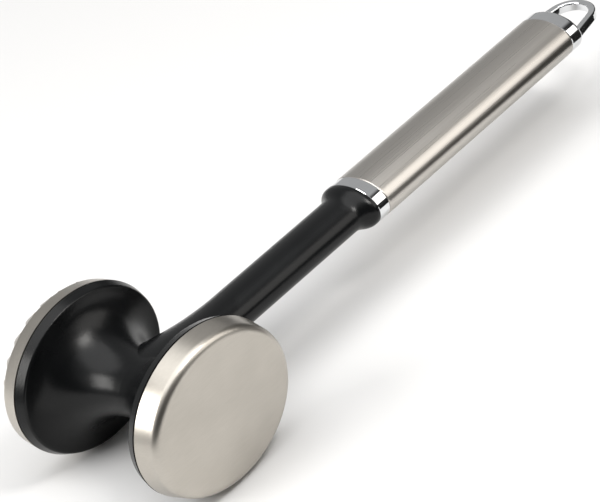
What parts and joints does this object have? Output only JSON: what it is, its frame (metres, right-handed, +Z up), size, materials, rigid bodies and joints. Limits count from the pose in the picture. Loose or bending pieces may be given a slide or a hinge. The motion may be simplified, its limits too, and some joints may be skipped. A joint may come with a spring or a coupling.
{
  "type": "meat mallet",
  "caption": "Two-faced meat mallet with smooth and toothed oval steel discs on a black spool head, round neck, oval steel handle and hanging loop.",
  "frame": {"origin": "centre of the smooth striking face", "axes": "-Y is the smooth face's outward normal, +X runs along the handle from the head to the hanging loop, +Z is up, through the discs' shorter axis"},
  "size_m": [0.2618, 0.0676, 0.0514],
  "materials": {
    "black_nylon": "satin moulded black",
    "cap_steel": "satin, finely brushed",
    "tube_steel": "satin, brushed along the tube",
    "chrome": "polished",
    "seal_rubber": "matt black",
    "plain_steel": "turned, zinc plated",
    "core_plastic": "moulded dark grey"
  },
  "bodies": {
    "root": {"head_body": "black_nylon", "smooth_cap": "cap_steel", "toothed_cap": "cap_steel", "smooth_cap_seal": "seal_rubber", "toothed_cap_seal": "seal_rubber", "smooth_backing_plate": "plain_steel", "toothed_backing_plate": "plain_steel", "head_weight": "plain_steel", "tie_rod": "plain_steel", "tie_washer": "plain_steel", "tie_nut": "plain_steel", "grip_core": "core_plastic", "front_ferrule": "chrome", "handle_tube": "tube_steel", "end_cap": "chrome"}
  },
  "joints": []
}
